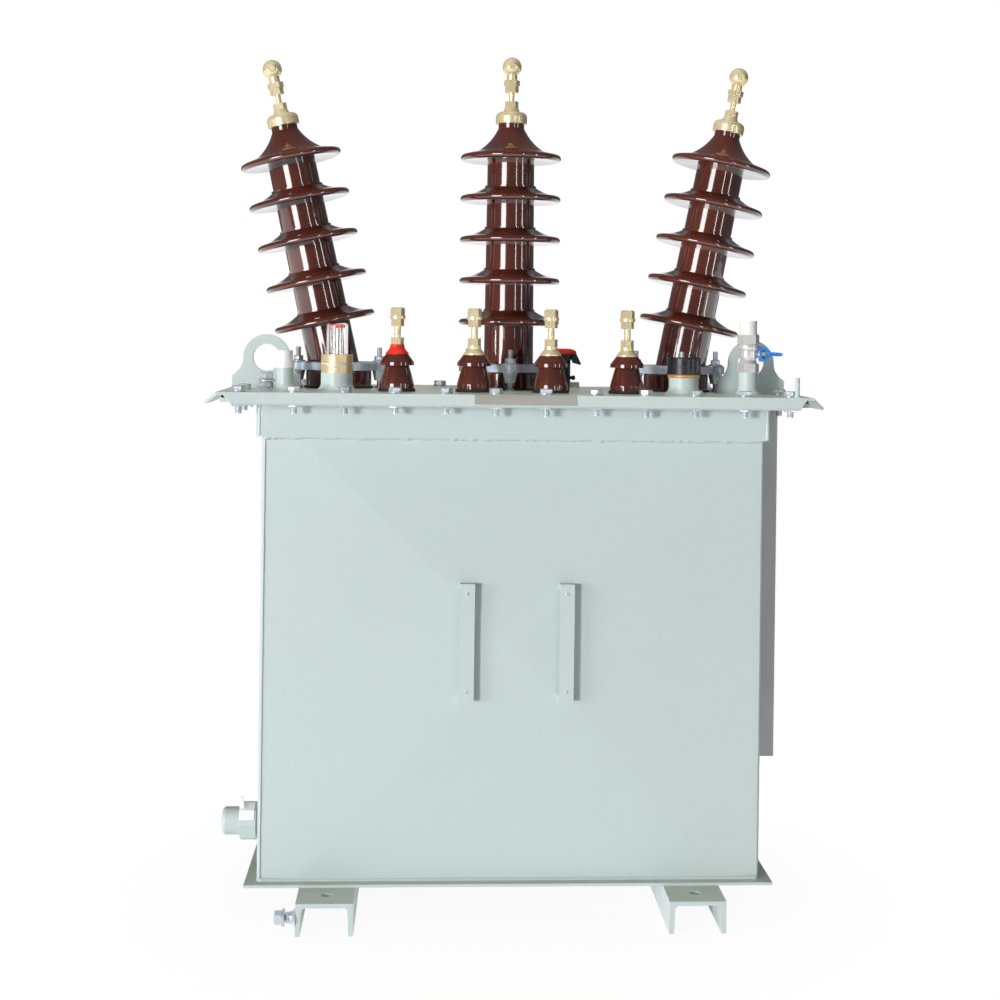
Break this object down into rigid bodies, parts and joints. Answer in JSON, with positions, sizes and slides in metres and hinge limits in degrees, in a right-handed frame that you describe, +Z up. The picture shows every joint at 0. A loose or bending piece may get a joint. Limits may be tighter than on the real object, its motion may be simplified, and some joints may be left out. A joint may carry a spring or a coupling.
{
  "type": "power transformer",
  "caption": "Oil-filled distribution transformer: welded tank on two channels, bolted cover, tall and short porcelain bushings, oil gauge, filler, valve and lifting lugs.",
  "frame": {"origin": "on the floor, midway between the two base channels and midway along them", "axes": "+X along the tank to the side that carries the valve, +Y to the rear where the tall bushings stand, +Z up"},
  "size_m": [0.8798, 0.422, 1.258],
  "materials": {
    "black_plastic": "smooth black",
    "blue_handle": "gloss blue",
    "bracket": "satin grey-green paint",
    "channel_paint": "satin grey-green paint",
    "clamp": "cast, dull",
    "collar_brass": "bright turned brass",
    "duct": "galvanised grey",
    "gasket": "matt black rubber",
    "gauge_glass": "clear",
    "paint": "satin grey-green paint",
    "porcelain": "glossy red-brown glaze",
    "terminal_brass": "bright turned brass",
    "valve_metal": "nickelled",
    "white_plastic": "smooth white",
    "zinc": "zinc plated"
  },
  "bodies": {
    "transformer": {"base_channel_left": "channel_paint", "base_channel_right": "channel_paint", "base_plate": "paint", "front_wall": "paint", "rear_wall": "paint", "left_wall": "paint", "right_wall": "paint", "rim_angle": "paint", "cover_gasket": "gasket", "cover_plate": "paint", "lifting_lug_left": "paint", "lifting_lug_right": "paint", "hv_porcelain_left": "porcelain", "hv_porcelain_middle": "porcelain", "hv_porcelain_right": "porcelain", "hv_clamp_left": "clamp", "hv_clamp_middle": "clamp", "hv_clamp_right": "clamp", "hv_terminal_left": "terminal_brass", "hv_terminal_middle": "terminal_brass", "hv_terminal_right": "terminal_brass", "lv_porcelain_1": "porcelain", "lv_porcelain_2": "porcelain", "lv_porcelain_3": "porcelain", "lv_porcelain_4": "porcelain", "lv_terminal_1": "terminal_brass", "lv_terminal_2": "terminal_brass", "lv_terminal_3": "terminal_brass", "lv_terminal_4": "terminal_brass", "gauge_pipe": "paint", "gauge_collar": "collar_brass", "gauge_glass": "gauge_glass", "filler_pipe": "paint", "filler_cap": "white_plastic", "pocket_pipe": "paint", "pocket_cap": "black_plastic", "valve_pipe": "paint", "valve_body": "valve_metal", "valve_cap": "white_plastic", "relief_valve": "black_plastic", "plate_bracket_left": "bracket", "plate_bracket_right": "bracket", "drain_valve": "zinc", "drain_cap": "zinc", "cable_duct": "duct"},
    "valve_handle": {"valve_handle": "blue_handle"}
  },
  "joints": [
    {"name": "valve_handle_turn", "type": "hinge", "parent": "transformer", "child": "valve_handle", "pos_m": [0.3604, -0.09, 0.80925], "axis": [1, 0, 0], "range_deg": [0, 90]}
  ]
}
